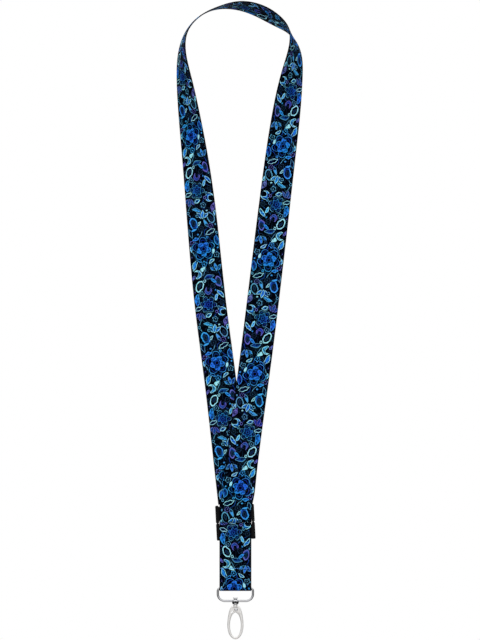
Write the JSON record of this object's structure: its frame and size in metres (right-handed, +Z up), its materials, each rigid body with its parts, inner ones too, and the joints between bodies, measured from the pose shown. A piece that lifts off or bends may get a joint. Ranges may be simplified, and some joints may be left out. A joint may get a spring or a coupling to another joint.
{
  "type": "lanyard",
  "caption": "Neck lanyard of flat printed webbing with a side-locking breakaway buckle, a sewn tail, a wire ring and a swivelling oval trigger hook.",
  "frame": {"origin": "underside of the loop's highest point, where it rests on a neck or a peg", "axes": "+Z up along the hanging length, +X to the right seen from the front, -Y out of the front, the side with the tail's bright row of stitches and the hook's rivet head"},
  "size_m": [0.0995, 0.041, 0.5003],
  "materials": {
    "webbing": "woven polyester with a printed blue floral pattern on near black",
    "dark_thread": "twisted thread",
    "blue_thread": "twisted thread",
    "buckle_plastic": "satin moulded",
    "chrome": "bright plated",
    "spring_steel": "drawn wire"
  },
  "bodies": {
    "neck_loop": {"neck_strap": "webbing", "upper_stitching": "dark_thread", "buckle_socket": "buckle_plastic"},
    "tail": {"buckle_plug": "buckle_plastic", "short_strap": "webbing", "tail_stitching": "blue_thread"},
    "ring": {"ring": "chrome"},
    "hook": {"swivel_pin": "chrome", "hook_body": "chrome", "gate_rivet": "chrome", "gate_spring": "spring_steel"},
    "gate": {"gate": "chrome"}
  },
  "joints": [
    {"name": "breakaway_release", "type": "slide", "parent": "neck_loop", "child": "tail", "axis": [0.0523, 0, -0.9986], "range_m": [0, 0.02]},
    {"name": "ring_swing", "type": "hinge", "parent": "tail", "child": "ring", "pos_m": [0, -0.025, -0.4555], "axis": [1, 0, 0], "range_deg": [-80, 80]},
    {"name": "hook_swivel", "type": "hinge", "parent": "ring", "child": "hook", "pos_m": [0, -0.025, -0.466], "axis": [0, 0, 1], "continuous": true},
    {"name": "gate_open", "type": "hinge", "parent": "hook", "child": "gate", "pos_m": [0.0005, -0.025, -0.4729], "axis": [0, 1, 0], "range_deg": [0, 18], "stiffness_Nm_per_rad": 0.02, "springref_deg": -22.92}
  ]
}
